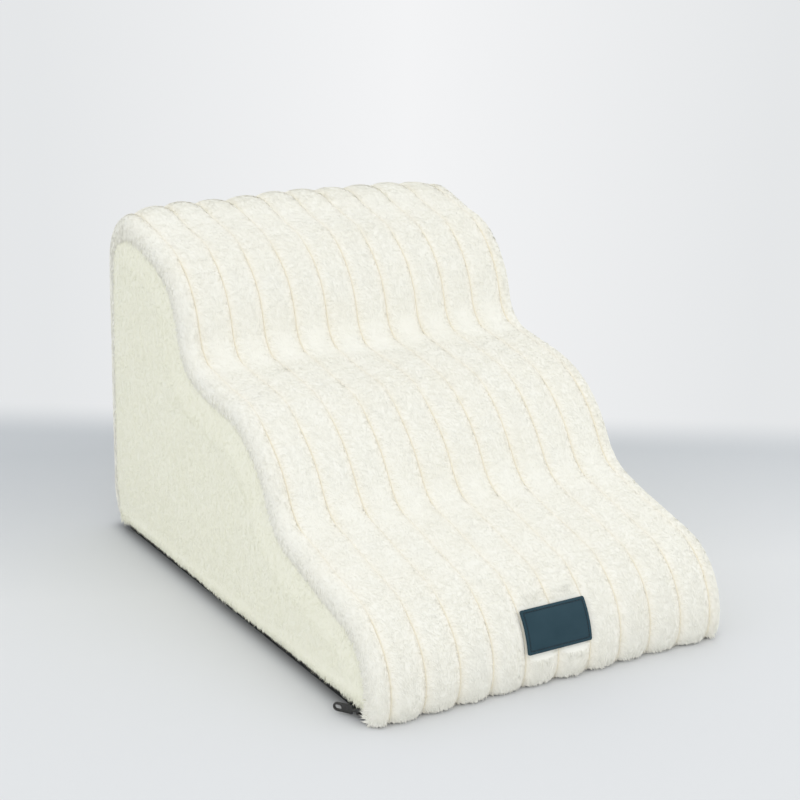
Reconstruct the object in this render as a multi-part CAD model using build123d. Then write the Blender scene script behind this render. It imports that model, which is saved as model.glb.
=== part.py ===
"""Pet stairs: a foam core with three soft steps in a ribbed plush cover that zips off.

Millimetres. X runs to the right, Y from the front foot to the back, Z up.
The origin is on the floor, midway between the sides and midway between the
front foot and the back.
"""

import os
from math import cos, degrees, hypot, pi, radians, sin

from build123d import *

os.makedirs("parts", exist_ok=True)

# The side outline, read at the seams between the ribs: from each corner to the next,
# how far back it goes and how far it climbs
front_draw_in = 7.0
front_bend_height = 12.0
nose_1_height = 80.0
tread_1_run = 172.0
tread_1_climb = 45.0
riser_2_set_back = 52.0
riser_2_climb = 86.5
tread_2_run = 143.0
tread_2_climb = 20.0
riser_3_set_back = 27.0
riser_3_climb = 92.5
tread_3_run = 168.0
tread_3_climb = 40.5
back_bend_height = 34.0
back_draw_in = 19.0

# How softly each corner of that outline is rounded
front_bend_radius = 30.0
nose_1_radius = 74.0
cove_1_radius = 60.0
nose_2_radius = 132.0
cove_2_radius = 42.0
nose_3_radius = 95.0
back_top_radius = 46.0
back_bend_radius = 60.0
# the most of a run that the rounding at its two ends may take together
rounded_share = 0.97

# The ribs, across the width
rib_pitch = 36.4
rib_crown = 7.5
seam_count = 11
edge_margin = 18.0
edge_roll_radius = 12.0
edge_crown = 6.0

# The layers, from the outside in
cover_thickness = 3.0
comfort_thickness = 12.0
side_panel_thickness = 8.0
side_panel_bulge = 3.0
lip_depth = 14.0
cloth_thickness = 1.2
clearance = 0.3

# The foam core is glued up from three slabs
base_slab_top = 113.0
middle_slab_top = 226.0
foam_relief_width = 6.0
foam_relief_height = 26.0
comfort_back_height = 27.0

# The zip runs along the left side, the back and the right side
tape_width = 15.0
tape_thickness = 0.7
tape_fold_width = 6.0
tape_corner_radius = 15.0
chain_height = 7.4
coil_width = 2.4
coil_depth = 2.4
coil_gap = 1.2
hem_height = 13.2
stop_length = 3.0
stop_depth = 3.0

# The slider, which grips the chain between two wings
slider_length = 12.5
slider_front_width = 10.4
slider_back_width = 9.0
slider_corner_radius = 1.2
wing_thickness = 1.2
inner_wing_thickness = 1.0
flange_thickness = 0.9
slider_play = 0.35
post_thickness = 0.7
post_length = 5.0
ear_thickness = 1.1
ear_length = 4.6
pin_radius = 0.8
pin_lift = 2.1

# The pull tab, which swings on the slider's pin
pull_length = 25.0
pull_width = 8.6
pull_thickness = 1.6
pull_neck_width = 3.2
pull_neck_length = 6.0
pull_knuckle_radius = 1.7
pull_hole_width = 4.0
pull_hole_length = 6.4
pull_hole_edge = 2.0
pull_play = 0.1
pull_rest_angle = 35.0

# The patch on the front face
label_width = 72.8
label_height = 41.5
label_thickness = 1.6
label_seat = 4.2
label_play = 0.1
label_foot = 34.5
label_corner_radius = 2.0
label_recess_margin = 0.4
groove_inset = 2.6
groove_width = 0.9
groove_depth = 0.4
stitch_pitch = 3.6
stitch_length = 2.6
stitch_radius = 0.3

# One overrun for all cuts, and how finely a height is looked for along a line
overrun = 20.0
search_limit = 0.001

# Worked out from the sizes above
half_width = rib_pitch * (seam_count - 1) / 2 + edge_margin
depth = tread_1_run + riser_2_set_back + tread_2_run + riser_3_set_back + tread_3_run
front = -depth / 2
back = depth / 2
tape_face = half_width - side_panel_thickness
foam_half_width = tape_face - tape_thickness - clearance
front_layers = cover_thickness + clearance + comfort_thickness
zip_front = front + max(lip_depth, front_layers) + clearance
coil_front = zip_front + stop_length + clearance
slider_front = coil_front + clearance
pin_out = coil_depth + slider_play + wing_thickness + pin_lift


def side_corners():
    """Corners of the side outline as (y, z), from the front foot to the back's foot.

    The first and last runs go on below the floor, and what is made there is cut off.
    """
    steps = [
        (0, nose_1_height - front_bend_height),
        (tread_1_run, tread_1_climb),
        (riser_2_set_back, riser_2_climb),
        (tread_2_run, tread_2_climb),
        (riser_3_set_back, riser_3_climb),
        (tread_3_run, tread_3_climb),
    ]
    front_slant = front_draw_in / (front_bend_height - cloth_thickness)
    back_slant = back_draw_in / (back_bend_height - cloth_thickness)
    y, z = front, front_bend_height
    corners = [(front + front_slant * (z + overrun), -overrun), (y, z)]
    for run, climb in steps:
        y += run
        z += climb
        corners.append((y, z))
    corners.append((back, back_bend_height))
    corners.append((back - back_slant * (back_bend_height + overrun), -overrun))
    return corners


def directions(corners):
    """Unit direction of each run between two corners."""
    found = []
    for (y0, z0), (y1, z1) in zip(corners, corners[1:]):
        length = hypot(y1 - y0, z1 - z0)
        found.append(((y1 - y0) / length, (z1 - z0) / length))
    return found


def inset_corners(inset):
    """The side outline's corners on a parallel line, inset towards the foam."""
    corners = side_corners()
    ways = directions(corners)
    moved = [(corners[0][0] + ways[0][1] * inset, corners[0][1] - ways[0][0] * inset)]
    for (y, z), (ay, az), (by, bz) in zip(corners[1:], ways, ways[1:]):
        share = inset / (1 + ay * by + az * bz)
        moved.append((y + (az + bz) * share, z - (ay + by) * share))
    (y, z), (ay, az) = corners[-1], ways[-1]
    moved.append((y + az * inset, z - ay * inset))
    return moved


def corner_radii():
    """Radius at each corner, with a minus sign where the outline turns up again."""
    wanted = [
        front_bend_radius,
        nose_1_radius,
        -cove_1_radius,
        nose_2_radius,
        -cove_2_radius,
        nose_3_radius,
        back_top_radius,
        back_bend_radius,
    ]
    corners = side_corners()
    ways = directions(corners)
    lengths = [hypot(b[0] - a[0], b[1] - a[1]) for a, b in zip(corners, corners[1:])]
    tangents = []
    for radius, (ay, az), (by, bz) in zip(wanted, ways, ways[1:]):
        half_turn_tangent = hypot(ay - by, az - bz) / hypot(ay + by, az + bz)
        tangents.append(abs(radius) * half_turn_tangent)
    radii = []
    for i, radius in enumerate(wanted):
        before = tangents[i - 1] if i else 0
        after = tangents[i + 1] if i + 1 < len(tangents) else 0
        room = min(
            lengths[i] / (before + tangents[i]), lengths[i + 1] / (tangents[i] + after)
        )
        radii.append(radius * min(1, room * rounded_share))
    return radii


def outline(inset):
    """The side outline as a line on the middle plane, inset towards the foam."""
    points = [(0, y, z) for y, z in inset_corners(inset)]
    radii = [abs(r - inset) for r in corner_radii()]
    return FilletPolyline(*points, radius=radii)


def band(outer_inset, inner_inset, half):
    """A sheet between two parallel outlines, reaching half to each side."""
    outer, inner = outline(outer_inset), outline(inner_inset)
    ends = [Line(outer @ 0, inner @ 0), Line(outer @ 1, inner @ 1)]
    face = Face(Wire(outer.edges() + inner.edges() + ends))
    return extrude(face, amount=half, dir=(1, 0, 0), both=True)


def core(inset, left, right):
    """All that lies under an outline and above the bottom cloth, from left to right."""
    top = outline(inset)
    face = Face(Wire(top.edges() + [Line(top @ 1, top @ 0)]))
    whole = extrude(face, amount=right - left, dir=(1, 0, 0))
    return Pos(left, 0, 0) * whole - level_box(-2 * overrun, cloth_thickness)


def level_box(low, high):
    """A box that takes in the whole width and depth between two heights."""
    wide = 2 * (half_width + overrun)
    long = depth + 2 * overrun
    return Pos(0, 0, (low + high) / 2) * Box(wide, long, high - low)


def back_foot_box(height):
    """A box that takes in the foot of the back, up to a height."""
    wide = 2 * (half_width + overrun)
    low = -2 * overrun
    return Pos(0, back, (height + low) / 2) * Box(wide, depth, height - low)


def side_foot_box(side):
    """A box that takes in the foot of one side, outside the zip's tape."""
    low = -2 * overrun
    start = zip_front - clearance
    length = depth + overrun - (start - front)
    middle = (side * (tape_face + overrun), start + length / 2, (hem_height + low) / 2)
    return Pos(*middle) * Box(2 * overrun, length, hem_height - low)


def foot_relief(side):
    """A wedge along one bottom edge of the foam, where the zip and its slider run."""
    edge = side * foam_half_width
    corners = [
        (edge, front, cloth_thickness + foam_relief_height),
        (edge, front, cloth_thickness),
        (edge - side * foam_relief_width, front, cloth_thickness),
    ]
    face = Face(Wire(Polyline(*corners, close=True).edges()))
    return extrude(face, amount=depth, dir=(0, 1, 0))


def edge_roll(side):
    """The outer edge of the ribbed panel's section, from its lip to the last seam."""
    x_out = side * half_width
    x_top = side * (half_width - edge_roll_radius)
    x_seam = side * (half_width - edge_margin)
    roll = edge_roll_radius
    fall = edge_margin - edge_roll_radius
    roll_low = roll - edge_crown
    roll_mid = (x_top + side * roll * cos(pi / 4), roll_low - roll * sin(pi / 4))
    fall_mid = (x_top - side * fall * cos(pi / 4), -edge_crown * sin(pi / 4))
    return [
        Line((x_out, lip_depth), (x_out, roll_low)),
        ThreePointArc((x_out, roll_low), roll_mid, (x_top, -edge_crown)),
        ThreePointArc((x_top, -edge_crown), fall_mid, (x_seam, 0)),
    ]


def rib_section():
    """Section of the ribbed panel, with a crown for each rib and its depth along Y."""
    first_seam = -(seam_count - 1) / 2
    edges = edge_roll(-1) + edge_roll(1)
    for i in range(seam_count - 1):
        left = (first_seam + i) * rib_pitch
        crest = (left + rib_pitch / 2, -rib_crown)
        edges.append(ThreePointArc((left, 0), crest, (left + rib_pitch, 0)))
    edges += Polyline(
        (-half_width, lip_depth),
        (-tape_face, lip_depth),
        (-tape_face, cover_thickness),
        (tape_face, cover_thickness),
        (tape_face, lip_depth),
        (half_width, lip_depth),
    ).edges()
    return Face(Wire(edges))


def label_line():
    """The line that the patch lies on, and how far along it the patch starts."""
    line = outline(-label_seat)
    low, high = 0, line.length
    floor_height = label_foot + cloth_thickness
    while high - low > search_limit:
        middle = (low + high) / 2
        if line.position_at(middle, PositionMode.LENGTH).Z < floor_height:
            low = middle
        else:
            high = middle
    return line, low


def label_spot(distance):
    """Place on the patch's line, a distance up from its lower edge: Z out, Y down."""
    line, start = label_line()
    along = line.tangent_at(start + distance, PositionMode.LENGTH)
    spot = line.position_at(start + distance, PositionMode.LENGTH)
    return Plane(origin=spot, x_dir=(1, 0, 0), z_dir=(0, -along.Z, along.Y))


def label_plate(low_rise, high_rise, margin):
    """A plate along the front outline, between two rises over the patch's line.

    margin makes it smaller on all four sides.
    """
    plate = band(-label_seat - high_rise, -label_seat - low_rise, label_width / 2 - margin)
    low, high = label_spot(margin), label_spot(label_height - margin)
    reach = rib_crown + overrun
    corners = [
        low.origin - low.z_dir * overrun,
        low.origin + low.z_dir * reach,
        high.origin + high.z_dir * reach,
        high.origin - high.z_dir * overrun,
    ]
    face = Face(Wire(Polyline(*corners, close=True).edges()))
    return plate & extrude(face, amount=half_width, dir=(1, 0, 0), both=True)


def make_ribbed_cover_panel():
    path = outline(0)
    start = Plane(origin=path @ 0, x_dir=(1, 0, 0), z_dir=path % 0)
    panel = sweep(start.location * rib_section(), path=path)
    recess = label_plate(0, rib_crown, -label_recess_margin)
    panel -= level_box(-2 * overrun, cloth_thickness)
    for side in (-1, 1):
        panel -= side_foot_box(side)
    return panel - back_foot_box(hem_height) - recess


def make_comfort_layer():
    inset = cover_thickness + clearance
    layer = band(inset, inset + comfort_thickness, foam_half_width)
    layer -= level_box(-2 * overrun, cloth_thickness)
    for side in (-1, 1):
        layer -= foot_relief(side)
    return layer - back_foot_box(comfort_back_height)


def make_foam_slabs():
    """The foam core, cut level into three slabs, with room for the zip at its foot."""
    inset = cover_thickness + comfort_thickness + 2 * clearance
    foam = core(inset, -foam_half_width, foam_half_width)
    for side in (-1, 1):
        foam -= foot_relief(side)
    top = nose_1_height + riser_2_climb + riser_3_climb
    top += tread_1_climb + tread_2_climb + tread_3_climb
    levels = [0, base_slab_top, middle_slab_top, top + overrun]
    return [foam & level_box(low, high) for low, high in zip(levels, levels[1:])]


def make_side_panel(side):
    """A plush side, flat on its inner face and crowned on its outer one."""
    inset = lip_depth + clearance
    reach = side_panel_thickness + side_panel_bulge
    panel = core(inset, 0, reach)
    panel -= level_box(0, hem_height)
    middle_height = nose_1_height + tread_1_climb
    half_span = depth / 2
    crown_radius = (half_span**2 + side_panel_bulge**2) / (2 * side_panel_bulge)
    crown = Pos(reach - crown_radius, 0, middle_height) * Sphere(crown_radius)
    panel = Pos(tape_face, 0, 0) * (panel & crown)
    if side < 0:
        panel = mirror(panel, about=Plane.YZ)
    return panel


def zip_back():
    """Where the outer face of the zip's tape runs along the back."""
    corners = inset_corners(cover_thickness)
    (y0, z0), (y1, z1) = corners[-2:]
    return y0 + (y1 - y0) * (hem_height - z0) / (z1 - z0) - clearance


def zip_path(height, out, front_end):
    """Line round the left side, the back and the right side, out from the tape's face."""
    x, y = tape_face + out, zip_back() + out
    radius = tape_corner_radius + out
    points = [(-x, front_end, height), (-x, y, height), (x, y, height)]
    return FilletPolyline(*points, (x, front_end, height), radius=radius)


def zip_sheet(low, high, inner, outer, front_end):
    """A U-shaped strip round three sides, between two heights and two distances out."""
    out_line = zip_path(low, outer, front_end)
    in_line = zip_path(low, inner, front_end)
    ends = [Line(out_line @ 0, in_line @ 0), Line(out_line @ 1, in_line @ 1)]
    face = Face(Wire(out_line.edges() + in_line.edges() + ends))
    return extrude(face, amount=high - low, dir=(0, 0, 1))


def make_zip_tapes():
    """The upper tape stands behind the hem; the lower one turns in under the foam."""
    half_gap = coil_gap / 2
    upper = zip_sheet(
        chain_height + half_gap, chain_height + tape_width, -tape_thickness, 0, zip_front
    )
    lower = zip_sheet(
        cloth_thickness, chain_height - half_gap, -tape_thickness, 0, zip_front
    )
    fold = zip_sheet(
        cloth_thickness,
        cloth_thickness + tape_thickness,
        -tape_thickness - tape_fold_width,
        0,
        zip_front,
    )
    return upper, lower + fold


def make_zip_coils():
    """One strand on the edge of each tape."""
    low = chain_height + coil_gap / 2
    upper = zip_sheet(low, low + coil_width, 0, coil_depth, coil_front)
    high = chain_height - coil_gap / 2
    lower = zip_sheet(high - coil_width, high, 0, coil_depth, coil_front)
    return upper, lower


def make_zip_stops():
    """A crimp at the end of each strand on the left, and one across both on the right."""
    y = zip_front + stop_length / 2
    x = tape_face + stop_depth / 2
    crimps = []
    for way in (-1, 1):
        z = chain_height + way * (coil_gap + coil_width) / 2
        crimps.append(Pos(-x, y, z) * Box(stop_depth, stop_length, coil_width))
    across = coil_gap + 2 * coil_width
    bottom_stop = Pos(x, y, chain_height) * Box(stop_depth, stop_length, across)
    return Compound(children=crimps), bottom_stop


def make_bottom_cloth():
    line = zip_path(0, 0, front + front_draw_in)
    closing = Line(line @ 1, line @ 0)
    cloth = Face(Wire(line.edges() + [closing]))
    return extrude(cloth, amount=cloth_thickness, dir=(0, 0, 1))


def wing(thickness):
    """One wing of the slider, wide at its mouth and narrower at its tail."""
    outline_points = [
        (0, -slider_front_width / 2),
        (0, slider_front_width / 2),
        (slider_length, slider_back_width / 2),
        (slider_length, -slider_back_width / 2),
    ]
    face = Face(Wire(Polyline(*outline_points, close=True).edges()))
    plate = extrude(face, amount=thickness, dir=(0, 0, 1))
    return fillet(plate.edges().filter_by(Axis.Z), slider_corner_radius)


def make_slider_body():
    """Built lying down: X back along the chain, Y up the side, Z out from the tape."""
    outer_low = coil_depth + slider_play
    outer_high = outer_low + wing_thickness
    inner_high = -tape_thickness - slider_play
    channel = coil_gap / 2 + coil_width + slider_play
    body = Pos(0, 0, outer_low) * wing(wing_thickness)
    body += Pos(0, 0, inner_high - inner_wing_thickness) * wing(inner_wing_thickness)
    rail_height = outer_low - slider_play
    for way in (-1, 1):
        body += Pos(
            slider_length / 2,
            way * (channel + flange_thickness / 2),
            slider_play + rail_height / 2,
        ) * Box(slider_length - 2 * slider_corner_radius, flange_thickness, rail_height)
    post_height = outer_low - inner_high
    body += Pos(
        wing_thickness + post_length / 2, 0, inner_high + post_height / 2
    ) * Box(post_length, post_thickness, post_height)
    pin_height = outer_high + pin_lift
    ear_offset = pull_neck_width / 2 + clearance + ear_thickness / 2
    for way in (-1, 1):
        body += Pos(slider_length / 2, way * ear_offset, outer_high + pin_lift / 2) * Box(
            ear_length, ear_thickness, pin_lift
        )
        body += (
            Pos(slider_length / 2, way * ear_offset, pin_height)
            * Rot(90, 0, 0)
            * Cylinder(ear_length / 2, ear_thickness)
        )
    body += (
        Pos(slider_length / 2, 0, pin_height)
        * Rot(90, 0, 0)
        * Cylinder(pin_radius, 2 * ear_offset)
    )
    return body


def make_pull_tab():
    """Built lying down, from its pin at the origin along X, with Y across it."""
    knuckle = Rot(90, 0, 0) * Cylinder(pull_knuckle_radius, pull_neck_width)
    neck = Pos(pull_neck_length / 2, 0, 0) * Box(
        pull_neck_length, pull_neck_width, pull_thickness
    )
    round_end = pull_width / 2
    blade_length = pull_length - pull_neck_length - round_end
    blade = Pos(pull_neck_length + blade_length / 2, 0, 0) * Box(
        blade_length, pull_width, pull_thickness
    )
    end = Pos(pull_length - round_end, 0, 0) * Cylinder(round_end, pull_thickness)
    tab = knuckle + neck + blade + end
    hole_middle = pull_length - pull_hole_edge - pull_hole_length / 2
    hole = SlotOverall(pull_hole_length, pull_hole_width)
    cut = extrude(hole, amount=pull_thickness, both=True)
    bore = Rot(90, 0, 0) * Cylinder(pin_radius + pull_play, pull_width)
    return tab - Pos(hole_middle, 0, 0) * cut - bore


def place_slider(shape):
    """Stands the slider on the left side: its X back, its Y up, its Z out to the left."""
    origin = (-tape_face, slider_front, chain_height)
    return Plane(origin=origin, x_dir=(0, 1, 0), z_dir=(-1, 0, 0)).location * shape


def pin_place():
    """Middle of the pin that the pull tab swings on."""
    return Vector(-tape_face - pin_out, slider_front + slider_length / 2, chain_height)


def place_pull_tab(shape):
    """Hangs the tab on its pin, turned out from the side by its angle at rest."""
    angle = radians(pull_rest_angle)
    along = (-sin(angle), cos(angle), 0)
    across = (-cos(angle), -sin(angle), 0)
    return Plane(origin=pin_place(), x_dir=along, z_dir=across).location * shape


def make_label_patch():
    """A curved patch with a pressed line just inside its edge."""
    top = label_play + label_thickness
    patch = label_plate(label_play, top, 0)
    corner_edges = patch.edges().sort_by(SortBy.LENGTH)[:4]
    patch = fillet(corner_edges, label_corner_radius)
    floor_rise = top - groove_depth
    groove = label_plate(floor_rise, rib_crown, groove_inset)
    groove -= label_plate(floor_rise, rib_crown, groove_inset + groove_width)
    return patch - groove


def make_label_stitching():
    """Short stitches that lie in the pressed line, all the way round."""
    line = groove_inset + groove_width / 2
    rise = label_play + label_thickness - groove_depth + stitch_radius
    across = label_width - 2 * line
    along = label_height - 2 * line
    thread = Cylinder(stitch_radius, stitch_length)
    stitches = []

    def lay(x, distance, turn):
        spot = label_spot(distance).location
        stitches.append(Pos(x, 0, 0) * spot * Pos(0, 0, rise) * turn * thread)

    count = int(across / stitch_pitch)
    for i in range(count):
        x = (i - (count - 1) / 2) * across / count
        lay(x, line, Rot(0, 90, 0))
        lay(x, label_height - line, Rot(0, 90, 0))
    count = int(along / stitch_pitch)
    for i in range(count):
        distance = label_height / 2 + (i - (count - 1) / 2) * along / count
        lay(-across / 2, distance, Rot(90, 0, 0))
        lay(across / 2, distance, Rot(90, 0, 0))
    return Compound(children=stitches)


def main():
    base_slab, middle_slab, top_slab = make_foam_slabs()
    upper_tape, lower_tape = make_zip_tapes()
    upper_coil, lower_coil = make_zip_coils()
    top_stops, bottom_stop = make_zip_stops()
    parts = {
        "foam_base_slab": base_slab,
        "foam_middle_slab": middle_slab,
        "foam_top_slab": top_slab,
        "comfort_layer": make_comfort_layer(),
        "ribbed_cover_panel": make_ribbed_cover_panel(),
        "left_side_panel": make_side_panel(-1),
        "right_side_panel": make_side_panel(1),
        "grip_bottom_panel": make_bottom_cloth(),
        "zip_tape_upper": upper_tape,
        "zip_tape_lower": lower_tape,
        "zip_coil_upper": upper_coil,
        "zip_coil_lower": lower_coil,
        "zip_top_stops": top_stops,
        "zip_bottom_stop": bottom_stop,
        "zip_slider_body": place_slider(make_slider_body()),
        "zip_pull_tab": place_pull_tab(make_pull_tab()),
        "label_patch": make_label_patch(),
        "label_stitching": make_label_stitching(),
    }
    for name, shape in parts.items():
        export_step(shape, f"parts/{name}.step")
    print("pin at", pin_place(), "straight run ends at", zip_back() - tape_corner_radius)


main()
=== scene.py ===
# %% [markdown]
# # Pet stairs in a plush cover
# These are foam stairs for a small dog or an old cat, seen from the low front step.
# The foam is hidden: what shows is a zip-off cover with a ribbed plush panel that
# runs over the steps, a plain plush panel on each side, a black zip round the
# bottom edge and a rubber patch on the front.
# The CAD model is loaded first, because every piece below is fitted to it.

# %% The frame and the tools
import math

import bmesh
import bpy
import numpy as np
from mathutils import Matrix, Vector


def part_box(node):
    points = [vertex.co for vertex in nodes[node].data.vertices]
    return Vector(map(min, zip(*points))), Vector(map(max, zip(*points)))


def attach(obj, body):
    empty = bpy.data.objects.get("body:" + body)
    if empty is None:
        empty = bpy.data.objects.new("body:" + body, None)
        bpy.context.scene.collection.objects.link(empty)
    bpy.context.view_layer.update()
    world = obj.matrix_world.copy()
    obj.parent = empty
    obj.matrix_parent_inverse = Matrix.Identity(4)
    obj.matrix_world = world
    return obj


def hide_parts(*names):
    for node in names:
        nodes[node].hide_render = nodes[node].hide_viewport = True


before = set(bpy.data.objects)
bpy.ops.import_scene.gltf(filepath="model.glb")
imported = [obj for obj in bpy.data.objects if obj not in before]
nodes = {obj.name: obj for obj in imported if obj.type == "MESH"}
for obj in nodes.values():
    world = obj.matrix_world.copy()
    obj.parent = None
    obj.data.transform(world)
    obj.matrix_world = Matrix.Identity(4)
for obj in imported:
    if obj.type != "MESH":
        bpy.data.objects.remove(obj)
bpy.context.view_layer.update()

# %% [markdown]
# ## Writing materials as sums
# A pattern such as the tint beside a seam is a sum of distances. In the node
# editor that is a row of Math nodes; here a small class stands for one output, so
# that `1 - distance / width` adds those nodes by itself.


# %% Materials as sums
class Output:
    """What one node gives. Sums and products of it become Math nodes."""

    def __init__(self, paint, socket):
        self.paint = paint
        self.socket = socket

    def math(self, operation, other=0.0):
        return self.paint.math(operation, self, other)

    def __add__(self, other):
        return self.math("ADD", other)

    def __sub__(self, other):
        return self.math("SUBTRACT", other)

    def __rsub__(self, other):
        return self.paint.math("SUBTRACT", other, self)

    def __mul__(self, other):
        return self.math("MULTIPLY", other)

    def __truediv__(self, other):
        return self.math("DIVIDE", other)

    __radd__ = __add__
    __rmul__ = __mul__

    def size(self):
        return self.math("ABSOLUTE")

    def clipped(self):
        return self.math("MAXIMUM", 0.0).math("MINIMUM", 1.0)

    def out(self, name):
        return Output(self.paint, self.socket.node.outputs[name])


class Paint:
    """One material. Its steady numbers go straight to the shader's own sockets."""

    def __init__(self, name, steady):
        self.material = bpy.data.materials.new(name)
        self.material.use_nodes = True
        self.tree = self.material.node_tree
        self.shader = self.tree.nodes["Principled BSDF"]
        for socket, value in steady.items():
            self.shader.inputs[socket].default_value = value

    def node(self, kind, settings=None, values=None):
        """Adds a node, sets it up, feeds its sockets and gives its first output."""
        node = self.tree.nodes.new(kind)
        for name, value in (settings or {}).items():
            setattr(node, name, value)
        for socket, value in (values or {}).items():
            self.feed(node.inputs[socket], value)
        return Output(self, node.outputs[0])

    def math(self, operation, first, second):
        settings = {"operation": operation}
        return self.node("ShaderNodeMath", settings, {0: first, 1: second})

    def feed(self, socket, value):
        if isinstance(value, Output):
            self.tree.links.new(value.socket, socket)
        else:
            socket.default_value = value

    def place(self):
        return self.node("ShaderNodeTexCoord").out("Object")

    def axes(self):
        """X, Y and Z of the place on the object, in metres."""
        split = self.node("ShaderNodeSeparateXYZ", None, {0: self.place()})
        return split.out("X"), split.out("Y"), split.out("Z")

    def noise(self, per_metre, detail=2.0, where=None):
        """Soft random values about 0.5, with that many lumps to the metre."""
        values = {"Vector": where or self.place(), "Scale": per_metre, "Detail": detail}
        return self.node("ShaderNodeTexNoise", None, values).out("Fac")

    def pattern(self, kind, per_metre, output, **settings):
        values = {"Vector": self.place(), "Scale": per_metre}
        return self.node(kind, settings, values).out(output)

    def mix(self, share, first, second):
        """A colour that goes from first to second as share goes from 0 to 1."""
        settings = {"data_type": "RGBA", "clamp_factor": True}
        node = self.node("ShaderNodeMix", settings).socket.node
        self.feed(node.inputs[0], share)
        for socket, colour in ((node.inputs[6], first), (node.inputs[7], second)):
            self.feed(socket, colour if isinstance(colour, Output) else (*colour, 1.0))
        return Output(self, node.outputs[2])

    def colour(self, value):
        self.feed(self.shader.inputs["Base Color"], value)

    def rough(self, value):
        self.feed(self.shader.inputs["Roughness"], value)

    def bump(self, height, distance, strength=1.0):
        values = {"Height": height, "Distance": distance, "Strength": strength}
        self.feed(self.shader.inputs["Normal"], self.node("ShaderNodeBump", None, values))


def show_mix(tree, share, first, second, end):
    """Sends a mix of two shaders to the Surface of an output node."""
    mixed = tree.nodes.new("ShaderNodeMixShader")
    for socket, source in zip(mixed.inputs, (share, first, second)):
        tree.links.new(source, socket)
    tree.links.new(mixed.outputs[0], end.inputs["Surface"])


print("materials are written as sums")

# %% [markdown]
# ## What the plush is made of
# Plush is a knitted backing with a short thick pile. Its colour is a warm cream.
# Beside each seam a warmer, deeper shade is painted into the colour, and the thin
# seam line is the backing's yellower colour with painted shade on it. The sides'
# cream is painted darker and yellower for the shade that falls on them. Light that
# enters the pile comes out again nearby, which the sheen stands for; real hair
# strands would look as soft but can't be kept as a mesh, so the pile below is small
# tufts.

# %% Plush
rib_pitch = 0.0364
seam_phase = 8.5  # a whole number and a half: each seam is the middle of a repeat
comb_stretch = (0.22, 1.0, 1.0)
side_stretch = (1.0, 1.0, 0.35)
cream = (0.948, 0.938, 0.866)
cream_shade = (0.936, 0.917, 0.827)
# The seam line's colour: the backing's yellower cream, with painted valley shade in it.
seam_backing_and_shade = (0.931, 0.858, 0.668)
# The sides' colours: the same cream painted darker and yellower for the shade on the sides.
shaded_side_cream = (0.934, 0.925, 0.793)
shaded_side_mottle = (0.914, 0.905, 0.757)
seam_line_width = 0.0011
# Painted warm shade beside each seam, and how far it reaches.
seam_painted_shade = (0.960, 0.913, 0.803)
seam_painted_shade_width = 0.0110
painted_shade_closed = 0.33
painted_shade_open = 0.22
seam_line_share = 0.6


def plush(name, light, shade, ribbed):
    """Cream pile, mottled in soft patches. Ribbed plush has a warm shade painted beside each
    seam and a thin seam line, partly the backing's colour and partly painted shade.
    """
    steady = {"Sheen Weight": 0.3, "Sheen Roughness": 0.45, "Specular IOR Level": 0.2}
    paint = Paint(name, steady)
    patches = paint.noise(26.0) * 1.8 - 0.4
    stretched = paint.node(
        "ShaderNodeVectorMath", {"operation": "MULTIPLY"},
        {0: paint.place(), 1: comb_stretch if ribbed else side_stretch},
    )
    strands = paint.noise(420.0, 2.0, stretched) * 1.6 - 0.3
    colour = paint.mix(patches.clipped() * 0.7 + strands.clipped() * 0.3, light, shade)
    if ribbed:
        x, _, _ = paint.axes()
        share = (x / rib_pitch + seam_phase).math("FRACT")
        from_seam = (share - 0.5).size() * rib_pitch
        wide = (1 - from_seam / seam_painted_shade_width).clipped()
        show = paint.node("ShaderNodeAttribute", {"attribute_name": "seam_show"})
        show = show.out("Fac")
        # A warm shade is painted beside each seam, more where the seams open.
        painted_shade = wide * wide * (show * painted_shade_open + painted_shade_closed)
        colour = paint.mix(painted_shade, colour, seam_painted_shade)
        # The seam line: the backing's yellower colour, with painted valley shade.
        seam_line = (1 - from_seam / seam_line_width).clipped() * show * seam_line_share
        colour = paint.mix(seam_line, colour, seam_backing_and_shade)
    paint.colour(colour)
    paint.rough(0.78 + strands.clipped() * 0.15)
    paint.bump(strands, 0.0002)
    return paint.material


ribbed_plush = plush("ribbed_plush", cream, cream_shade, True)
# The sides' plush takes the cream painted darker and yellower for their shade.
plain_plush = plush("plain_plush", shaded_side_cream, shaded_side_mottle, False)
print("plush:", ribbed_plush.name, plain_plush.name)

# %% [markdown]
# ## Placing a piece
# Every piece rides on a body of the CAD model, names the material slot that it
# takes its finish from and, where it stands for a CAD node, hides that node.


# %% Placing a piece
def fit(piece, material, replaced=(), body="stairs"):
    """Dresses a finished piece and ties it to the frame."""
    piece.data.materials.clear()
    piece.data.materials.append(material)
    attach(piece, body)
    if replaced:
        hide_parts(*replaced)
    lowest = round(1000 * places(piece.data)[:, 2].min(), 2)
    print(piece.name, len(piece.data.polygons), "faces, lowest at", lowest, "mm")


def only(piece):
    """Makes a piece the only one that is selected."""
    bpy.ops.object.select_all(action="DESELECT")
    piece.select_set(True)
    bpy.context.view_layer.objects.active = piece


def apply(piece, kind, **settings):
    """Adds a modifier, sets it and applies it."""
    only(piece)
    modifier = piece.modifiers.new(kind.lower(), kind)
    for name, value in settings.items():
        setattr(modifier, name, value)
    bpy.ops.object.modifier_apply(modifier=modifier.name)


def on_all(piece, operator, **settings):
    """Runs one operator of edit mode on all of a piece."""
    only(piece)
    bpy.ops.object.mode_set(mode="EDIT")
    bpy.ops.mesh.select_all(action="SELECT")
    operator(**settings)
    bpy.ops.object.mode_set(mode="OBJECT")


def added(name, data):
    """A new object in the scene with that mesh, lamp or camera."""
    piece = bpy.data.objects.new(name, data)
    bpy.context.scene.collection.objects.link(piece)
    return piece


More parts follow.
